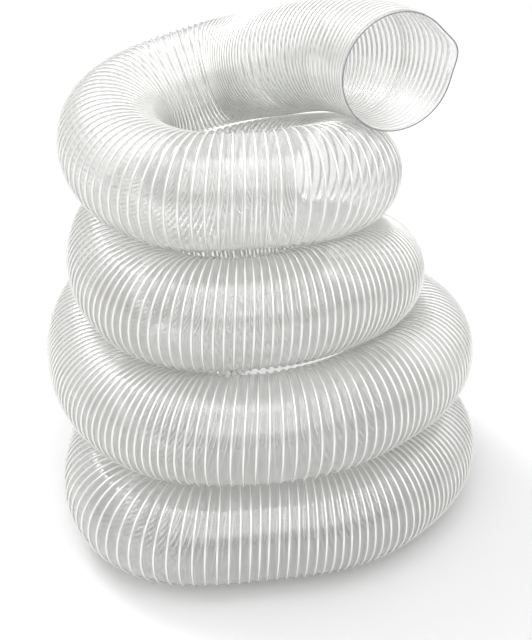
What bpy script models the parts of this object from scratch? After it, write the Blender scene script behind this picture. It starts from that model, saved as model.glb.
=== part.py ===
"""Clear extraction hose, cut square at both ends and laid down in a stack of four turns.

Metres, +Z up. The floor under the lowest turn is z = 0, and the origin is the middle of the
part's footprint. The hose is followed from its upper mouth down to its lower mouth. It is one
tube, modelled in short sections that lie end to end, so that each solid bends only a little.
"""

import math

import bmesh
import bpy
from mathutils import Matrix, Vector

BORE = 0.100  # inside diameter of the hose
WALL = 0.0028  # film and helix together, from the bore to the rib crest
TURN_GAP = 0.0006  # clear space between two turns that lie on each other
JOIN_GAP = 0.0003  # clear space between two sections, end to end

# Where the hose crosses each eighth of a turn: how far its middle is from the coil's axis.
# It runs anticlockwise seen from above, a row to a turn, and the rows start FIRST_ANGLE from +X.
FIRST_ANGLE = math.radians(-35)
REACHES = (
    (0.169, 0.109, 0.092, 0.124, 0.134, 0.111, 0.088, 0.073),
    (0.085, 0.104, 0.112, 0.117, 0.128, 0.117, 0.112, 0.099),
    (0.107, 0.135, 0.143, 0.158, 0.166, 0.146, 0.142, 0.135),
    (0.150, 0.196, 0.202, 0.159, 0.137, 0.138, 0.164, 0.146),
    (0.173, 0.201, 0.135),
)
UPPER_END = 0.055  # turns from the first crossing to the upper mouth
LOWER_END = 4.185  # turns from the first crossing to the lower mouth

# Each front lies on the one below. It is this much higher than two touching hoses, top first.
RISES = (0.012, 0.0005, -0.003, 0.0005)
# The shares of a turn, counted from its front, between which the hose steps down a level.
STEPS_DOWN = ((0.06, 0.90), (0.06, 0.90), (0.07, 0.90), (0.26, 0.66))
FRONT = 0.875  # turns from the first crossing to the first front
MOUTH_DROOP = 0.023  # how far the upper end sags over its last quarter turn
DROOP_START = 0.275  # turns from the first crossing to where the sag starts
DROOP_LENGTH = 0.25  # turns

SIDES = 16  # facets round the hose
RINGS_PER_TURN = 26
UPPER_SECTION_END = 0.27  # turns from the first crossing to the end of the section at the mouth
LOWER_SECTION_START = 4.0  # turns from the first crossing to the section at the lower mouth
MIDDLE_SECTIONS = 18
CLEAR_FILM = (0.78, 0.78, 0.76, 1.0)

OUTER_RADIUS = BORE / 2 + WALL
# A flat facet of the lowest turn rests on the floor, so the middle is this high above it.
REST_HEIGHT = OUTER_RADIUS * math.cos(math.pi / SIDES)


def clear_scene():
    for obj in list(bpy.data.objects):
        bpy.data.objects.remove(obj)


def smooth_step(share):
    """Zero up to 0, one from 1 on, level at both."""
    share = min(max(share, 0.0), 1.0)
    return share * share * (3.0 - 2.0 * share)


def level_heights():
    """Height of the hose's middle at each front, top first, and on the floor last."""
    heights = [REST_HEIGHT]
    for rise in reversed(RISES):
        heights.insert(0, heights[0] + 2 * OUTER_RADIUS + TURN_GAP + rise)
    return heights


def reach_at(turn):
    """Distance from the coil's axis, on a smooth curve through the crossings."""
    reaches = [reach for row in REACHES for reach in row]
    place = min(turn * len(REACHES[0]), len(reaches) - 1.001)
    index = int(place)
    share = place - index
    before = reaches[max(index - 1, 0)]
    start = reaches[index]
    end = reaches[index + 1]
    after = reaches[min(index + 2, len(reaches) - 1)]
    bend = smooth_step(share)
    lead_in = (end - before) / 2 * share * (1 - share) ** 2
    lead_out = (after - start) / 2 * share**2 * (1 - share)
    return start * (1 - bend) + end * bend + lead_in - lead_out


def height_at(turn, heights):
    """Height of the hose's middle: level across each front, stepping down round the back."""
    from_front = turn + 1 - FRONT
    level = min(int(from_front), len(heights) - 1)
    height = heights[level]
    if level < len(STEPS_DOWN):
        begin, finish = STEPS_DOWN[level]
        dropped = smooth_step((from_front - level - begin) / (finish - begin))
        height -= (heights[level] - heights[level + 1]) * dropped
    sag = min(max((DROOP_START - turn) / DROOP_LENGTH, 0.0), 1.0)
    return height - MOUTH_DROOP * sag * sag


def middle_at(turn, heights):
    angle = FIRST_ANGLE + 2 * math.pi * turn
    reach = reach_at(turn)
    return Vector((reach * math.cos(angle), reach * math.sin(angle), height_at(turn, heights)))


def section_stops():
    """Turns from the first crossing at which the sections begin and end, from mouth to mouth."""
    each = (LOWER_SECTION_START - UPPER_SECTION_END) / MIDDLE_SECTIONS
    between = [UPPER_SECTION_END + each * i for i in range(MIDDLE_SECTIONS + 1)]
    return [UPPER_END, *between, LOWER_END]


def route():
    """Places of the hose's cross-sections, and the index at which each section ends."""
    heights = level_heights()
    stops = section_stops()
    middles = [middle_at(UPPER_END, heights)]
    ends = [0]
    for start, stop in zip(stops, stops[1:]):
        count = max(2, round((stop - start) * RINGS_PER_TURN))
        for i in range(1, count + 1):
            middles.append(middle_at(start + (stop - start) * i / count, heights))
        ends.append(len(middles) - 1)
    return middles, ends


def footprint_middle(middles):
    low = Vector((min(p.x for p in middles), min(p.y for p in middles), 0))
    high = Vector((max(p.x for p in middles), max(p.y for p in middles), 0))
    return (low + high) / 2


def cross_sections(middles):
    """A matrix for each cross-section: its local Z runs along the hose, its local Y points up."""
    frames = []
    for i, middle in enumerate(middles):
        ahead = middles[min(i + 1, len(middles) - 1)]
        behind = middles[max(i - 1, 0)]
        along = (ahead - behind).normalized()
        side = Vector((0, 0, 1)).cross(along).normalized()
        up = along.cross(side)
        turned = Matrix((side, up, along)).transposed().to_4x4()
        frames.append(Matrix.Translation(middle) @ turned)
    return frames


def section_mesh(name, frames):
    """A hollow length of hose. One ring runs out along the outside and back along the bore."""
    stations = [frame @ Matrix.Scale(OUTER_RADIUS, 4) for frame in frames]
    stations += [frame @ Matrix.Scale(BORE / 2, 4) for frame in reversed(frames)]
    stations.append(stations[0])
    bm = bmesh.new()
    flat_down = Matrix.Rotation(math.pi / SIDES, 4, "Z")
    ring = bmesh.ops.create_circle(
        bm, segments=SIDES, radius=1.0, matrix=stations[0] @ flat_down
    )["verts"]
    edges = list({edge for vert in ring for edge in vert.link_edges})
    for last_station, station in zip(stations, stations[1:]):
        grown = bmesh.ops.extrude_edge_only(bm, edges=edges)["geom"]
        verts = [item for item in grown if isinstance(item, bmesh.types.BMVert)]
        edges = [item for item in grown if isinstance(item, bmesh.types.BMEdge) and item.is_boundary]
        bmesh.ops.transform(bm, matrix=station @ last_station.inverted(), verts=verts)
    # The last ring is back on the first one.
    bmesh.ops.remove_doubles(bm, verts=bm.verts, dist=0.00001)
    bmesh.ops.recalc_face_normals(bm, faces=bm.faces)
    mesh = bpy.data.meshes.new(name)
    bm.to_mesh(mesh)
    bm.free()
    mesh.shade_smooth()
    mesh.set_sharp_from_angle(angle=math.radians(50))
    return mesh


def clear_film():
    material = bpy.data.materials.new("clear_film")
    material.use_nodes = True
    shader = material.node_tree.nodes["Principled BSDF"]
    shader.inputs["Base Color"].default_value = CLEAR_FILM
    shader.inputs["Roughness"].default_value = 0.12
    shader.inputs["Metallic"].default_value = 0.0
    shader.inputs["Transmission Weight"].default_value = 0.8
    return material


def build_hose():
    middles, ends = route()
    centre = footprint_middle(middles)
    frames = cross_sections([point - centre for point in middles])
    film = clear_film()
    names = ["upper_end", *(f"section_{i + 1}" for i in range(MIDDLE_SECTIONS)), "lower_end"]
    for name, start, stop in zip(names, ends, ends[1:]):
        own = frames[start : stop + 1]
        if name != names[-1]:
            own[-1] = own[-1] @ Matrix.Translation((0, 0, -JOIN_GAP))
        section = bpy.data.objects.new(name, section_mesh(name, own))
        section.data.materials.append(film)
        bpy.context.collection.objects.link(section)


clear_scene()
build_hose()
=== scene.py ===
"""Clear extraction hose, laid down in a stack of four turns on a pale studio floor.

Metres, +Z up. The film wall and the coated wire follow the same route as the solids of the
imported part, which they stand for. The file is laid out as an add-on and is run as a script.
"""

import math

import bmesh
import bpy
import numpy as np
from mathutils import Matrix, Vector


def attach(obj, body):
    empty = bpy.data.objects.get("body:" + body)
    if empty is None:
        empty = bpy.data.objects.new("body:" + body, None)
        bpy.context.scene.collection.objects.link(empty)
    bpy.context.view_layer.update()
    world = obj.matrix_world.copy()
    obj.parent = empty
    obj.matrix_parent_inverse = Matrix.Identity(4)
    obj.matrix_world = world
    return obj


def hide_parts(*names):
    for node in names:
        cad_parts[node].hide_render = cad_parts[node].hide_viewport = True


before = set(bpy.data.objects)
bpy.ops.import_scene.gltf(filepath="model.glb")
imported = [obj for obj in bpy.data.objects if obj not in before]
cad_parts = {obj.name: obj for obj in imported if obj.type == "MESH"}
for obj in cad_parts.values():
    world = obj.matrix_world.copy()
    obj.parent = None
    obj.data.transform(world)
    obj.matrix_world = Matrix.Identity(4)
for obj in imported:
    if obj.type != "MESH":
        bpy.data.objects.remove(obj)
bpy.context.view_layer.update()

bl_info = {
    "name": "Coiled extraction hose",
    "version": (1, 0, 0),
    "blender": (4, 5, 0),
    "location": "3D View > Sidebar > Hose",
    "description": "Builds a clear extraction hose, lying in a coil, and the studio round it",
    "category": "Add Mesh",
}

# The hose, as in the part's own source.
BORE = 0.100
WALL = 0.0028
TURN_GAP = 0.0006
OUTER_RADIUS = BORE / 2 + WALL
SOLID_SIDES = 16
REST_HEIGHT = OUTER_RADIUS * math.cos(math.pi / SOLID_SIDES)

# The route: how far the hose's middle is from the coil's axis at each eighth of a turn. The
# reaches, rises and steps are a fit to outlines in the photograph, rounded and mended.
FIRST_ANGLE = math.radians(-35)
REACHES = (
    (0.169, 0.109, 0.092, 0.124, 0.134, 0.111, 0.088, 0.073),
    (0.085, 0.104, 0.112, 0.117, 0.128, 0.117, 0.112, 0.099),
    (0.107, 0.135, 0.143, 0.158, 0.166, 0.146, 0.142, 0.135),
    (0.150, 0.196, 0.202, 0.159, 0.137, 0.138, 0.164, 0.146),
    (0.173, 0.201, 0.135),
)
UPPER_END = 0.055
LOWER_END = 4.185
RISES = (0.012, 0.0005, -0.003, 0.0005)
STEPS_DOWN = ((0.06, 0.90), (0.06, 0.90), (0.07, 0.90), (0.26, 0.66))
FRONT = 0.875
MOUTH_DROOP = 0.023
DROOP_START = 0.275
DROOP_LENGTH = 0.25
UPPER_SECTION_END = 0.27
LOWER_SECTION_START = 4.0
MIDDLE_SECTIONS = 18
RINGS_PER_TURN = 26

# Spacing of the ribs along the middle of the hose, at places given in turns from the first
# crossing. The turns have been squeezed and pulled, so it isn't even. Most of the values were
# measured in the photograph by a program and then rounded.
RIB_SPACINGS = (
    (0.055, 0.0062), (0.14, 0.0057), (0.25, 0.0047), (0.34, 0.0051), (0.42, 0.0065),
    (0.50, 0.0076), (0.60, 0.0080), (0.65, 0.0070), (0.69, 0.0068), (0.75, 0.0072),
    (0.80, 0.0073), (0.86, 0.0092), (0.92, 0.0091), (0.98, 0.0081), (1.08, 0.0084),
    (1.20, 0.0076), (1.50, 0.0076), (1.64, 0.0070), (1.68, 0.0065), (1.73, 0.0059),
    (1.77, 0.0061), (1.81, 0.0064), (1.85, 0.0070), (1.90, 0.0064), (1.95, 0.0060),
    (2.00, 0.0061), (2.05, 0.0065), (2.08, 0.0057), (2.20, 0.0070), (2.55, 0.0070),
    (2.66, 0.0058), (2.70, 0.0064), (2.74, 0.0061), (2.77, 0.0055), (2.80, 0.0056),
    (2.83, 0.0086), (2.87, 0.0095), (2.94, 0.0091), (3.00, 0.0083), (3.04, 0.0072),
    (3.08, 0.0063), (3.20, 0.0075), (3.50, 0.0080), (3.70, 0.0081), (3.77, 0.0080),
    (3.81, 0.0087), (3.85, 0.0093), (3.88, 0.0092), (3.91, 0.0077), (3.94, 0.0064),
    (3.96, 0.0063), (4.00, 0.0073), (4.04, 0.0062), (4.10, 0.0062), (4.185, 0.0065),
)
PLAIN_END = 0.005  # film left bare between the cut and the first rib
WIRE_PIECES = 5
WIRE_SIDES = 6
ROUTE_STEPS = 2600
RIM_RADIUS = 0.0006  # half the thickness of the rounded cut edge
RIM_SIDES = 8
RIM_STEPS = 96
SAME_PLACE = 0.000001  # points closer than this are one point
LOOPS_MEET = 0.00001  # the edges of two loops of film that are closer than this are one
STRAIGHT_PITCH = 0.008  # rib to rib while a piece is still wound round a straight axis
OUTSIDE_LEAN = 0.0065  # how far the ribs lean back on the outside of the turns
TOP_LEAN = 0.0035  # how far they lean forward on top
LEAN_START = 0.2  # length from a cut end at which the ribs lean in full
CORNER = 0.0045  # how far the upper mouth is pulled out of round, at one corner
CORNER_ANGLE = math.radians(162)
CORNER_WIDTH = math.radians(16)
CORNER_DIP = 0.35  # share of it by which the wall is drawn in on both sides of the corner
CORNER_DIP_WIDTH = 2.6 * CORNER_WIDTH
CORNER_LENGTH = 0.03  # length of hose over which it is round again

PVC_IOR = 1.53
# Sizes of the patches in the finishes, in millimetres. They are too faint in the photograph to
# measure, so they are chosen as coarse as they need to be to show.
FILM_CLOUDS = 45.45
FILM_SHINE = 6.25
WIRE_PATCHES = 16.67
EDGE_PATCHES = 3.333
PAPER_CLOUDS = 333.3

# The camera, from the same fit as the route.
CAMERA_PLACE = (0.0051, -0.8532, 0.6614)
CAMERA_TURN = (math.pi / 2 - 0.503, 0.0, 0.0055)
SENSOR = 36.0
PICTURE_HEIGHT = 640
FOCAL_PIXELS = 930.64
FLOOR_HALF_WIDTH = 9.0
LIGHTS_AIM = (0.0, 0.0, 0.25)


# The route


def smooth_step(share):
    """Zero up to 0, one from 1 on, level at both."""
    share = min(max(share, 0.0), 1.0)
    return share * share * (3.0 - 2.0 * share)


def level_heights():
    """Height of the hose's middle at each front, top first, and on the floor last."""
    heights = [REST_HEIGHT]
    for rise in reversed(RISES):
        heights.insert(0, heights[0] + 2 * OUTER_RADIUS + TURN_GAP + rise)
    return heights


def reach_at(turn):
    """Distance from the coil's axis, on a smooth curve through the crossings."""
    reaches = [reach for row in REACHES for reach in row]
    place = min(turn * len(REACHES[0]), len(reaches) - 1.001)
    index = int(place)
    share = place - index
    before = reaches[max(index - 1, 0)]
    start = reaches[index]
    end = reaches[index + 1]
    after = reaches[min(index + 2, len(reaches) - 1)]
    bend = smooth_step(share)
    lead_in = (end - before) / 2 * share * (1 - share) ** 2
    lead_out = (after - start) / 2 * share**2 * (1 - share)
    return start * (1 - bend) + end * bend + lead_in - lead_out


def height_at(turn, heights):
    """Height of the hose's middle: level across each front, stepping down round the back."""
    from_front = turn + 1 - FRONT
    level = min(int(from_front), len(heights) - 1)
    height = heights[level]
    if level < len(STEPS_DOWN):
        begin, finish = STEPS_DOWN[level]
        dropped = smooth_step((from_front - level - begin) / (finish - begin))
        height -= (heights[level] - heights[level + 1]) * dropped
    sag = min(max((DROOP_START - turn) / DROOP_LENGTH, 0.0), 1.0)
    return height - MOUTH_DROOP * sag * sag


def middle_at(turn, heights):
    angle = FIRST_ANGLE + 2 * math.pi * turn
    reach = reach_at(turn)
    return Vector((reach * math.cos(angle), reach * math.sin(angle), height_at(turn, heights)))


def footprint_middle(heights):
    """The middle of the footprint, which the solids' cross-sections set."""
    each = (LOWER_SECTION_START - UPPER_SECTION_END) / MIDDLE_SECTIONS
    between = [UPPER_SECTION_END + each * i for i in range(MIDDLE_SECTIONS + 1)]
    stops = [UPPER_END, *between, LOWER_END]
    middles = [middle_at(UPPER_END, heights)]
    for start, stop in zip(stops, stops[1:]):
        count = max(2, round((stop - start) * RINGS_PER_TURN))
        for i in range(1, count + 1):
            middles.append(middle_at(start + (stop - start) * i / count, heights))
    low = Vector((min(p.x for p in middles), min(p.y for p in middles), 0))
    high = Vector((max(p.x for p in middles), max(p.y for p in middles), 0))
    return (low + high) / 2


def out_of_round(angle, from_mouth):
    """How far the wall stands out at an angle round the hose, that far from the upper mouth."""
    away = (angle - CORNER_ANGLE) / CORNER_WIDTH
    drawn_in = (angle - CORNER_ANGLE) / CORNER_DIP_WIDTH
    shape = (1 + CORNER_DIP) * np.exp(-away * away) - CORNER_DIP * np.exp(-drawn_in * drawn_in)
    return CORNER * shape * np.exp(-((from_mouth / CORNER_LENGTH) ** 2))


class HoseLine:
    """The middle of the hose at close steps: ribs so far, and the directions round it."""

    def __init__(self):
        heights = level_heights()
        centre = footprint_middle(heights)
        turns = np.linspace(UPPER_END, LOWER_END, ROUTE_STEPS)
        places = [middle_at(turn, heights) - centre for turn in turns]
        self.middle = np.array([tuple(place) for place in places])
        pieces = np.linalg.norm(np.diff(self.middle, axis=0), axis=1)
        self.length_so_far = np.concatenate([[0.0], np.cumsum(pieces)])
        self.length = float(self.length_so_far[-1])
        along = np.gradient(self.middle, axis=0)
        self.along = along / np.linalg.norm(along, axis=1, keepdims=True)
        side = np.cross([0.0, 0.0, 1.0], self.along)
        self.side = side / np.linalg.norm(side, axis=1, keepdims=True)
        self.up = np.cross(self.along, self.side)
        crossings, spacings = zip(*RIB_SPACINGS)
        spacing = np.interp(turns, crossings, spacings)
        grown = pieces / ((spacing[1:] + spacing[:-1]) / 2)
        ribs = np.concatenate([[0.0], np.cumsum(grown)])
        # The wire starts half a loop round from the side direction, on the right of the mouth.
        self.first_rib = 0.5
        self.ribs = ribs - np.interp(PLAIN_END, self.length_so_far, ribs) + self.first_rib
        self.last_rib = float(
            np.interp(self.length - PLAIN_END, self.length_so_far, self.ribs)
        )

    def at(self, ribs):
        """Middle, side, up and along where that many ribs have been passed."""
        found = []
        for values in (self.middle, self.side, self.up, self.along):
            columns = [np.interp(ribs, self.ribs, column) for column in values.T]
            found.append(np.column_stack(columns))
        return found


LINE = HoseLine()


# Making and laying the pieces


def new_object(name, mesh):
    made = bpy.data.objects.new(name, mesh)
    bpy.context.scene.collection.objects.link(made)
    return made


def wound(bm, steps, loops):
    """The mesh in bm, wound round a straight Z axis, and the empty bm. It gives a mesh."""
    mesh = bpy.data.meshes.new("winding")
    bm.to_mesh(mesh)
    bm.free()
    winding = new_object("winding", mesh)
    screw = winding.modifiers.new("Screw", "SCREW")
    screw.axis = "Z"
    screw.angle = 2 * math.pi
    screw.screw_offset = STRAIGHT_PITCH
    screw.steps = steps
    screw.render_steps = steps
    screw.iterations = loops
    screw.use_smooth_shade = True
    bpy.context.view_layer.update()
    graph = bpy.context.evaluated_depsgraph_get()
    made = bpy.data.meshes.new_from_object(winding.evaluated_get(graph))
    bpy.data.objects.remove(winding)
    bpy.data.meshes.remove(mesh)
    return made


def points_of(mesh):
    points = np.empty(len(mesh.vertices) * 3)
    mesh.vertices.foreach_get("co", points)
    return points.reshape(-1, 3)


def loops_and_turn(points):
    """How many loops each wound point is up the axis, and what share of a loop round it."""
    round_share = (np.arctan2(points[:, 1], points[:, 0]) / (2 * math.pi)) % 1.0
    return points[:, 2] / STRAIGHT_PITCH, round_share


def lay_on_route(mesh, radius, ribs, round_share, ahead):
    """Moves a wound mesh's points on to the hose's route. The ribs lean back on the outside of
    the turns and forward on top, and stand square again at the cut ends."""
    middle, side, up, along = LINE.at(ribs)
    angle = (2 * math.pi * round_share)[:, None]
    out = np.cos(angle) * side + np.sin(angle) * up
    passed = np.interp(ribs, LINE.ribs, LINE.length_so_far)
    from_end = np.minimum(passed, LINE.length - passed)
    square = 1.0 - np.clip(from_end / LEAN_START, 0.0, 1.0)
    lean = OUTSIDE_LEAN * np.cos(angle) + TOP_LEAN * np.sin(angle)
    ahead = ahead + (1.0 - square**2) * lean[:, 0]
    radius = radius + out_of_round(angle[:, 0], passed)
    placed = middle + radius[:, None] * out + ahead[:, None] * along
    mesh.vertices.foreach_set("co", placed.astype(np.float32).ravel())
    mesh.update()


def face_outwards(mesh):
    bm = bmesh.new()
    bm.from_mesh(mesh)
    bmesh.ops.recalc_face_normals(bm, faces=bm.faces)
    bm.to_mesh(mesh)
    bm.free()


def linear(hex_colour):
    """An sRGB colour such as "#ffffff" as the linear values that the shaders take."""
    shares = [int(hex_colour[i : i + 2], 16) / 255 for i in (1, 3, 5)]
    straight = [s / 12.92 if s <= 0.04045 else ((s + 0.055) / 1.055) ** 2.4 for s in shares]
    return (*straight, 1.0)


def new_material(name):
    material = bpy.data.materials.new(name)
    material.use_nodes = True
    return material, material.node_tree, material.node_tree.nodes["Principled BSDF"]


def add_node(tree, kind, settings=None, inputs=None, links=None):
    """Adds a node, sets its properties and sockets, and links sockets to given outputs."""
    node = tree.nodes.new(kind)
    for name, value in (settings or {}).items():
        setattr(node, name, value)
    for name, value in (inputs or {}).items():
        node.inputs[name].default_value = value
    for name, output in (links or {}).items():
        tree.links.new(output, node.inputs[name])
    return node


# Sizes and colours that a user may change


class HoseSizes(bpy.types.PropertyGroup):
    """Sizes of the wire and the film, and how finely they are drawn"""

    wire: bpy.props.FloatProperty(
        name="Coated wire", description="Diameter of the wire with its coating",
        default=0.0024, min=0.001, max=0.0028, unit="LENGTH",
    )
    sag: bpy.props.FloatProperty(
        name="Film sag", description="How far the film dips between two ribs",
        default=0.0009, min=0.0, max=0.002, unit="LENGTH",
    )
    film_steps: bpy.props.IntProperty(
        name="Film steps", description="Faces round one loop of film", default=32, min=16, max=34,
    )
    wire_steps: bpy.props.IntProperty(
        name="Wire steps", description="Faces along one loop of wire", default=40, min=24, max=60,
    )


class HoseFinish(bpy.types.PropertyGroup):
    """Colours of the film, the wire and the cut edge, and how clear they are"""

    film_colour: bpy.props.StringProperty(
        name="Film colour", description="sRGB hex colour of the film", default="#fafaf9",
    )
    film_shade: bpy.props.StringProperty(
        name="Film shade", description="sRGB hex colour of the film's duller patches", default="#f0f0ef",
    )
    film_body: bpy.props.FloatProperty(
        name="Film body", description="How much of the film is seen rather than seen through",
        default=0.28, min=0.0, max=1.0, subtype="FACTOR",
    )
    film_glow: bpy.props.FloatProperty(
        name="Film glow", description="How much of the light on the film's far side it passes on",
        default=0.7, min=0.0, max=1.0, subtype="FACTOR",
    )
    # Painted sheen: the film is made more milky, and so whiter, along each rib.
    rib_painted_sheen: bpy.props.FloatProperty(
        name="Weld body", description="How much whiter the film is where it is welded to the wire",
        default=0.15, min=0.0, max=1.0, subtype="FACTOR",
    )
    wire_colour: bpy.props.StringProperty(
        name="Wire", description="sRGB hex colour of the coated wire", default="#f0f0ee",
    )
    wire_shade: bpy.props.StringProperty(
        name="Wire shade", description="sRGB hex colour of the wire's duller parts", default="#e4e4e2",
    )
    wire_metal: bpy.props.FloatProperty(
        name="Wire metal", description="How much of the bead's look is the steel in it",
        default=0.35, min=0.0, max=1.0, subtype="FACTOR",
    )
    # Painted shade: the cut edge is coloured grey for the dark line that the clear edge shows.
    edge_painted_shade: bpy.props.StringProperty(
        name="Cut edge", description="sRGB hex colour of the cut film edge", default="#8a8d90",
    )


class StudioSettings(bpy.types.PropertyGroup):
    """The floor, the light round the hose and the four soft lights"""

    contrast: bpy.props.FloatProperty(
        name="Print gamma", description="Gamma of the finished picture: lower is harder",
        default=0.84, min=0.5, max=1.5,
    )
    floor_colour: bpy.props.StringProperty(
        name="Floor colour", description="sRGB hex colour of the studio floor", default="#dcdcdc",
    )
    horizon: bpy.props.FloatProperty(
        name="Surround, level", description="Strength of the light from the horizon",
        default=0.5, min=0.0, max=3.0,
    )
    zenith: bpy.props.FloatProperty(
        name="Surround, overhead", description="Strength of the light from straight above",
        default=1.5, min=0.0, max=9.0,
    )
    gathered: bpy.props.FloatProperty(
        name="Surround, gathered", description="How closely the light gathers overhead",
        default=2.0, min=1.0, max=9.0,
    )
    top_light: bpy.props.FloatProperty(
        name="Top light", description="Power of the soft light overhead",
        default=125.0, min=0.0, max=900.0, unit="POWER",
    )
    side_light: bpy.props.FloatProperty(
        name="Side light", description="Power of the soft light from the right",
        default=1.2, min=0.0, max=500.0, unit="POWER",
    )
    front_light: bpy.props.FloatProperty(
        name="Front light", description="Power of the large soft light in front",
        default=88.0, min=0.0, max=500.0, unit="POWER",
    )
    back_light: bpy.props.FloatProperty(
        name="Back light", description="Power of the soft light behind on the left",
        default=190.0, min=0.0, max=500.0, unit="POWER",
    )


# Materials


def noise_scale(millimetres):
    """The scale of a noise whose patches are this big."""
    return 1000.0 / millimetres


def drifting_tint(tree, shader, place, patch, detail, first, second):
    """Drifts the base colour between two linear colours, in patches of so many millimetres.
    It gives the noise and the tint."""
    noise = add_node(
        tree, "ShaderNodeTexNoise", inputs={"Scale": noise_scale(patch), "Detail": detail},
        links={"Vector": place},
    )
    tint = add_node(
        tree, "ShaderNodeMix", {"data_type": "RGBA"}, links={"Factor": noise.outputs["Fac"]},
    )
    tint.inputs["A"].default_value = first
    tint.inputs["B"].default_value = second
    tree.links.new(tint.outputs["Result"], shader.inputs["Base Color"])
    return noise, tint


def clear_pvc_film(finish):
    """Blown clear PVC film, welded to the wire. Face on it is nearly clear, at a slant it looks milky,
    and along each rib it is made more milky, a painted sheen. It shines all over."""
    material, tree, shader = new_material("clear_pvc_film")
    place = add_node(tree, "ShaderNodeTexCoord").outputs["Object"]
    clouds, tint = drifting_tint(
        tree, shader, place, FILM_CLOUDS, 3.0,
        linear(finish.film_colour), linear(finish.film_shade),
    )
    clouds.inputs["Roughness"].default_value = 0.55
    fine = add_node(
        tree, "ShaderNodeTexNoise",
        inputs={"Scale": noise_scale(FILM_SHINE), "Detail": 2.0}, links={"Vector": place},
    )
    shine = add_node(
        tree, "ShaderNodeMapRange",
        inputs={"From Min": 0.3, "From Max": 0.7, "To Min": 0.13, "To Max": 0.22},
        links={"Value": fine.outputs["Fac"]},
    )
    tree.links.new(shine.outputs["Result"], shader.inputs["Roughness"])
    slant = add_node(tree, "ShaderNodeLayerWeight", inputs={"Blend": 0.35})
    body = add_node(
        tree, "ShaderNodeMapRange",
        inputs={"From Min": 0.0, "From Max": 0.9, "To Min": finish.film_body, "To Max": 0.6},
        links={"Value": slant.outputs["Facing"]},
    )
    # Painted sheen: near each rib more of the film is seen, which makes it whiter there.
    by_rib = add_node(tree, "ShaderNodeAttribute", {"attribute_name": "by_rib"})
    rib_sheen = add_node(
        tree, "ShaderNodeMapRange",
        inputs={"From Min": 0.4, "From Max": 1.0, "To Min": 0.0, "To Max": finish.rib_painted_sheen},
        links={"Value": by_rib.outputs["Fac"]},
    )
    seen = add_node(tree, "ShaderNodeMath", {"operation": "ADD", "use_clamp": True})
    tree.links.new(body.outputs["Result"], seen.inputs[0])
    tree.links.new(rib_sheen.outputs["Result"], seen.inputs[1])
    shader.inputs["IOR"].default_value = PVC_IOR
    # Milky film glows with the light that falls on its far side, and the rest is seen through.
    glow = add_node(
        tree, "ShaderNodeBsdfTranslucent", links={"Color": tint.outputs["Result"]},
    )
    milky = add_node(tree, "ShaderNodeMixShader", inputs={"Fac": finish.film_glow})
    tree.links.new(shader.outputs["BSDF"], milky.inputs[1])
    tree.links.new(glow.outputs["BSDF"], milky.inputs[2])
    clear = add_node(tree, "ShaderNodeBsdfTransparent")
    film = add_node(tree, "ShaderNodeMixShader", links={"Fac": seen.outputs["Value"]})
    tree.links.new(clear.outputs["BSDF"], film.inputs[1])
    tree.links.new(milky.outputs["Shader"], film.inputs[2])
    # Both faces of the film shine, the clear part as much as the milky one. Together they send
    # back a twelfth of the light head on, and most of it at a grazing angle.
    gloss = add_node(
        tree, "ShaderNodeBsdfGlossy", inputs={"Color": linear("#ffffff")},
        links={"Roughness": shine.outputs["Result"]},
    )
    turned = add_node(tree, "ShaderNodeLayerWeight", inputs={"Blend": 0.5})
    edge_on = add_node(tree, "ShaderNodeMath", {"operation": "POWER", "use_clamp": True})
    edge_on.inputs[1].default_value = 5.0
    tree.links.new(turned.outputs["Facing"], edge_on.inputs[0])
    both_faces = add_node(
        tree, "ShaderNodeMapRange", inputs={"To Min": 0.08, "To Max": 0.9},
        links={"Value": edge_on.outputs["Value"]},
    )
    shiny = add_node(tree, "ShaderNodeMixShader", links={"Fac": both_faces.outputs["Result"]})
    tree.links.new(film.outputs["Shader"], shiny.inputs[1])
    tree.links.new(gloss.outputs["BSDF"], shiny.inputs[2])
    tree.links.new(shiny.outputs["Shader"], tree.nodes["Material Output"].inputs["Surface"])
    return material


def coated_wire(finish):
    """Drawn spring steel wire under a clear coating. The coating makes it look as wide as the
    whole bead, white where it mirrors a light and grey where it mirrors the room."""
    material, tree, shader = new_material("clear_coated_steel_wire")
    place = add_node(tree, "ShaderNodeTexCoord").outputs["Object"]
    clouds, _ = drifting_tint(
        tree, shader, place, WIRE_PATCHES, 2.0,
        linear(finish.wire_colour), linear(finish.wire_shade),
    )
    shine = add_node(
        tree, "ShaderNodeMapRange",
        inputs={"From Min": 0.3, "From Max": 0.7, "To Min": 0.14, "To Max": 0.24},
        links={"Value": clouds.outputs["Fac"]},
    )
    tree.links.new(shine.outputs["Result"], shader.inputs["Roughness"])
    shader.inputs["Metallic"].default_value = finish.wire_metal
    shader.inputs["IOR"].default_value = PVC_IOR
    shader.inputs["Coat Weight"].default_value = 1.0
    shader.inputs["Coat Roughness"].default_value = 0.1
    shader.inputs["Coat IOR"].default_value = PVC_IOR
    return material


def film_edge_painted_shade(finish):
    """The knife-cut edge of the clear film, painted grey as shade for the thin dark line that it shows.
    """
    material, tree, shader = new_material("film_edge_painted_shade")
    place = add_node(tree, "ShaderNodeTexCoord").outputs["Object"]
    # Painted shade, drifting between two greys in patches.
    drifting_tint(
        tree, shader, place, EDGE_PATCHES, 2.0, linear(finish.edge_painted_shade), linear("#9a9da0")
    )
    shader.inputs["Roughness"].default_value = 0.2
    shader.inputs["IOR"].default_value = PVC_IOR
    return material


def studio_paper(colour):
    """Matt white background paper."""
    material, tree, shader = new_material("studio_paper")
    place = add_node(tree, "ShaderNodeTexCoord").outputs["Object"]
    drifting_tint(tree, shader, place, PAPER_CLOUDS, 2.0, linear(colour), linear("#d8d8d8"))
    shader.inputs["Roughness"].default_value = 0.9
    shader.inputs["Specular IOR Level"].default_value = 0.1
    return material


# Operators


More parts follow.
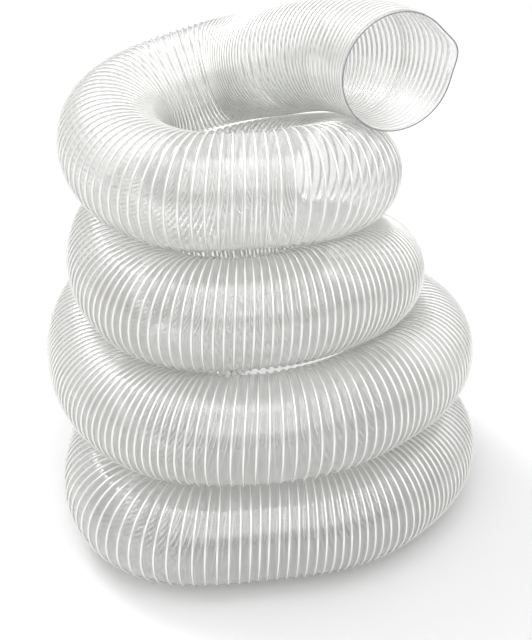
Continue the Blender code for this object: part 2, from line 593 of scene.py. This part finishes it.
def soft_light(name, place, size, power, colour):
    """A soft light of a width and height at a place, turned to face the hose."""
    data = bpy.data.lights.new(name, "AREA")
    data.shape = "RECTANGLE"
    data.size, data.size_y = size
    data.energy = power
    data.color = linear(colour)[:3]
    light = bpy.data.objects.new(name, data)
    bpy.context.scene.collection.objects.link(light)
    light.location = place
    towards = Vector(LIGHTS_AIM) - Vector(place)
    light.rotation_euler = towards.to_track_quat("-Z", "Y").to_euler()


class HOSE_OT_studio(bpy.types.Operator):
    """Sets the camera, the pale floor and the soft lights"""

    bl_idname = "hose.studio"
    bl_label = "Studio"

    def execute(self, context):
        settings = context.scene.hose_studio
        camera = bpy.data.cameras.new("camera")
        camera.sensor_fit = "AUTO"
        camera.sensor_width = SENSOR
        camera.lens = FOCAL_PIXELS / PICTURE_HEIGHT * SENSOR
        camera.clip_start = 0.05
        eye = bpy.data.objects.new("camera", camera)
        context.scene.collection.objects.link(eye)
        eye.location = CAMERA_PLACE
        eye.rotation_euler = CAMERA_TURN
        context.scene.camera = eye
        context.scene.view_settings.view_transform = "Standard"
        context.scene.view_settings.gamma = settings.contrast

        bm = bmesh.new()
        bmesh.ops.create_grid(bm, x_segments=4, y_segments=4, size=FLOOR_HALF_WIDTH)
        mesh = bpy.data.meshes.new("floor")
        bm.to_mesh(mesh)
        bm.free()
        mesh.materials.append(studio_paper(settings.floor_colour))
        new_object("floor", mesh)

        world = bpy.data.worlds.new("surround")
        world.use_nodes = True
        context.scene.world = world
        tree = world.node_tree
        background = tree.nodes["Background"]
        background.inputs["Color"].default_value = linear("#ffffff")
        direction = add_node(tree, "ShaderNodeTexCoord").outputs["Generated"]
        parts = add_node(tree, "ShaderNodeSeparateXYZ", links={"Vector": direction})
        gathered = add_node(
            tree, "ShaderNodeMath", {"operation": "POWER", "use_clamp": True},
        )
        gathered.inputs[1].default_value = settings.gathered
        tree.links.new(parts.outputs["Z"], gathered.inputs[0])
        strength = add_node(
            tree, "ShaderNodeMapRange",
            inputs={"To Min": settings.horizon, "To Max": settings.zenith},
            links={"Value": gathered.outputs["Value"]},
        )
        tree.links.new(strength.outputs["Result"], background.inputs["Strength"])

        lights = (
            ("top_light", (0.0, -1.9, 7.7), (7.5, 2.8), settings.top_light, "#ffffff"),
            ("back_light", (-3.4, 3.0, 5.0), (2.5, 2.5), settings.back_light, "#ffffff"),
            ("side_light", (1.9, -1.1, 1.3), (0.9, 0.9), settings.side_light, "#eef4ff"),
            ("front_light", (0.5, -3.6, 3.6), (5.5, 3.6), settings.front_light, "#ffffff"),
        )
        for name, place, size, power, colour in lights:
            soft_light(name, place, size, power, colour)
        return {"FINISHED"}


class HOSE_OT_wire(bpy.types.Operator):
    """Winds the coated wire, one helix from mouth to mouth, in lengths that meet end to end"""

    bl_idname = "hose.wire"
    bl_label = "Coated wire"

    def execute(self, context):
        sizes = context.scene.hose_sizes
        coating = coated_wire(context.scene.hose_finish)
        radius = sizes.wire / 2
        ring_at = Vector((OUTER_RADIUS - radius, 0.0, 0.0))
        stops = np.linspace(LINE.first_rib, LINE.last_rib, WIRE_PIECES + 1)
        steps = sizes.wire_steps
        stops = np.round(stops * steps) / steps
        for number, (start, stop) in enumerate(zip(stops, stops[1:]), 1):
            first = math.floor(start)
            bm = bmesh.new()
            upright = Matrix.Rotation(math.pi / 2, 4, "X")
            bmesh.ops.create_circle(
                bm, segments=WIRE_SIDES, radius=radius, matrix=Matrix.Translation(ring_at) @ upright
            )
            mesh = wound(bm, steps, math.ceil(stop) - first)
            points = points_of(mesh)
            loops, round_share = loops_and_turn(points)
            whole = np.round(loops - round_share)
            ribs = whole + round_share
            ahead = (loops - ribs) * STRAIGHT_PITCH
            # Points that belong to loops outside this length go.
            keep = (ribs + first > start - 0.25 / steps) & (ribs + first < stop + 0.25 / steps)
            across = np.hypot(points[:, 0], points[:, 1])
            bm = bmesh.new()
            bm.from_mesh(mesh)
            bm.verts.ensure_lookup_table()
            spare = [vert for vert, kept in zip(bm.verts, keep) if not kept]
            bmesh.ops.delete(bm, geom=spare, context="VERTS")
            bm.to_mesh(mesh)
            bm.free()
            lay_on_route(
                mesh, across[keep], ribs[keep] + first, round_share[keep], ahead[keep]
            )
            bm = bmesh.new()
            bm.from_mesh(mesh)
            rims = [edge for edge in bm.edges if edge.is_boundary]
            bmesh.ops.holes_fill(bm, edges=rims, sides=WIRE_SIDES)
            bmesh.ops.recalc_face_normals(bm, faces=bm.faces)
            bm.to_mesh(mesh)
            bm.free()
            mesh.name = f"wire_helix_{number}"
            mesh.shade_smooth()
            mesh.materials.clear()
            mesh.materials.append(coating)
            length = new_object(f"wire_helix_{number}", mesh)
            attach(length, "root")
        return {"FINISHED"}


class HOSE_OT_mouths(bpy.types.Operator):
    """Makes the cut edge of the film at each mouth"""

    bl_idname = "hose.mouths"
    bl_label = "Cut ends"

    def execute(self, context):
        sizes = context.scene.hose_sizes
        edge = film_edge_painted_shade(context.scene.hose_finish)
        film_radius = OUTER_RADIUS - sizes.wire / 2
        for name, index, into in (("upper_rim", 0, 1), ("lower_rim", -1, -1)):
            side, up, along = (Vector(v[index]) for v in (LINE.side, LINE.up, LINE.along))
            middle = Vector(LINE.middle[index]) + along * RIM_RADIUS * into
            place = Matrix((side, up, along)).transposed().to_4x4()
            place.translation = middle
            bm = bmesh.new()
            start = Matrix.Translation((film_radius, 0, 0)) @ Matrix.Rotation(math.pi / 2, 4, "X")
            bmesh.ops.create_circle(bm, segments=RIM_SIDES, radius=RIM_RADIUS, matrix=start)
            bmesh.ops.spin(
                bm, geom=bm.verts[:] + bm.edges[:], cent=(0, 0, 0), axis=(0, 0, 1),
                angle=2 * math.pi, steps=RIM_STEPS, use_merge=True, use_duplicate=False,
            )
            bmesh.ops.remove_doubles(bm, verts=bm.verts, dist=SAME_PLACE)
            for vert in bm.verts:
                angle = math.atan2(vert.co.y, vert.co.x) % (2 * math.pi)
                grown = out_of_round(angle, LINE.length_so_far[index]) / vert.co.xy.length
                vert.co.xy *= 1 + grown
            bmesh.ops.transform(bm, matrix=place, verts=bm.verts)
            bmesh.ops.recalc_face_normals(bm, faces=bm.faces)
            mesh = bpy.data.meshes.new(name)
            bm.to_mesh(mesh)
            bm.free()
            mesh.shade_smooth()
            mesh.materials.append(edge)
            rim = new_object(name, mesh)
            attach(rim, "root")
        return {"FINISHED"}


class HOSE_OT_film(bpy.types.Operator):
    """Makes the film wall from mouth to mouth and hides the imported part's solids"""

    bl_idname = "hose.film"
    bl_label = "Film wall"

    def execute(self, context):
        sizes = context.scene.hose_sizes
        crest = OUTER_RADIUS - sizes.wire / 2
        first = math.floor(LINE.ribs[0]) - 1
        last = math.ceil(LINE.ribs[-1]) + 1
        bm = bmesh.new()
        dips = (0.0, sizes.sag, sizes.sag, 0.0)
        verts = [
            bm.verts.new((crest - dip, 0.0, STRAIGHT_PITCH * i / (len(dips) - 1)))
            for i, dip in enumerate(dips)
        ]
        for low, high in zip(verts, verts[1:]):
            bm.edges.new((low, high))
        mesh = wound(bm, sizes.film_steps, last - first)
        bm = bmesh.new()
        bm.from_mesh(mesh)
        bmesh.ops.remove_doubles(bm, verts=bm.verts, dist=LOOPS_MEET)
        for place, away in ((LINE.ribs[0], -1), (LINE.ribs[-1], 1)):
            bmesh.ops.bisect_plane(
                bm, geom=bm.verts[:] + bm.edges[:] + bm.faces[:], dist=SAME_PLACE,
                plane_co=(0, 0, (place - first) * STRAIGHT_PITCH), plane_no=(0, 0, away),
                clear_outer=True,
            )
        bm.to_mesh(mesh)
        bm.free()
        points = points_of(mesh)
        loops, round_share = loops_and_turn(points)
        ribs = loops + first
        past = ribs - round_share
        across = np.hypot(points[:, 0], points[:, 1])
        # The film runs straight on past the first and last rib.
        across[(ribs < LINE.first_rib) | (ribs > LINE.last_rib)] = crest
        lay_on_route(mesh, across, ribs, round_share, np.zeros(len(points)))
        by_rib = mesh.attributes.new("by_rib", "FLOAT", "POINT")
        by_rib.data.foreach_set("value", np.abs((past % 1.0) * 2 - 1).astype(np.float32))
        face_outwards(mesh)
        mesh.name = "hose_film"
        mesh.shade_smooth()
        mesh.materials.clear()
        mesh.materials.append(clear_pvc_film(context.scene.hose_finish))
        film = new_object("hose_film", mesh)
        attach(film, "root")
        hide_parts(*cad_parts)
        return {"FINISHED"}


class HOSE_PT_panel(bpy.types.Panel):
    """Lists the hose's sizes, finishes and steps"""

    bl_idname = "HOSE_PT_panel"
    bl_label = "Extraction hose"
    bl_space_type = "VIEW_3D"
    bl_region_type = "UI"
    bl_category = "Hose"

    def draw(self, context):
        for group in (context.scene.hose_sizes, context.scene.hose_finish, context.scene.hose_studio):
            box = self.layout.box()
            for name in group.bl_rna.properties.keys():
                if name not in ("rna_type", "name"):
                    box.prop(group, name)
        for operator in (HOSE_OT_studio, HOSE_OT_wire, HOSE_OT_mouths, HOSE_OT_film):
            self.layout.operator(operator.bl_idname)


CLASSES = (
    HoseSizes,
    HoseFinish,
    StudioSettings,
    HOSE_OT_studio,
    HOSE_OT_wire,
    HOSE_OT_mouths,
    HOSE_OT_film,
    HOSE_PT_panel,
)


def register():
    for each in CLASSES:
        bpy.utils.register_class(each)
    bpy.types.Scene.hose_sizes = bpy.props.PointerProperty(type=HoseSizes)
    bpy.types.Scene.hose_finish = bpy.props.PointerProperty(type=HoseFinish)
    bpy.types.Scene.hose_studio = bpy.props.PointerProperty(type=StudioSettings)


def unregister():
    del bpy.types.Scene.hose_studio
    del bpy.types.Scene.hose_finish
    del bpy.types.Scene.hose_sizes
    for each in reversed(CLASSES):
        bpy.utils.unregister_class(each)


def main():
    register()
    bpy.ops.hose.studio()
    bpy.ops.hose.wire()
    bpy.ops.hose.mouths()
    bpy.ops.hose.film()
    bpy.context.view_layer.update()


if __name__ == "__main__":
    main()
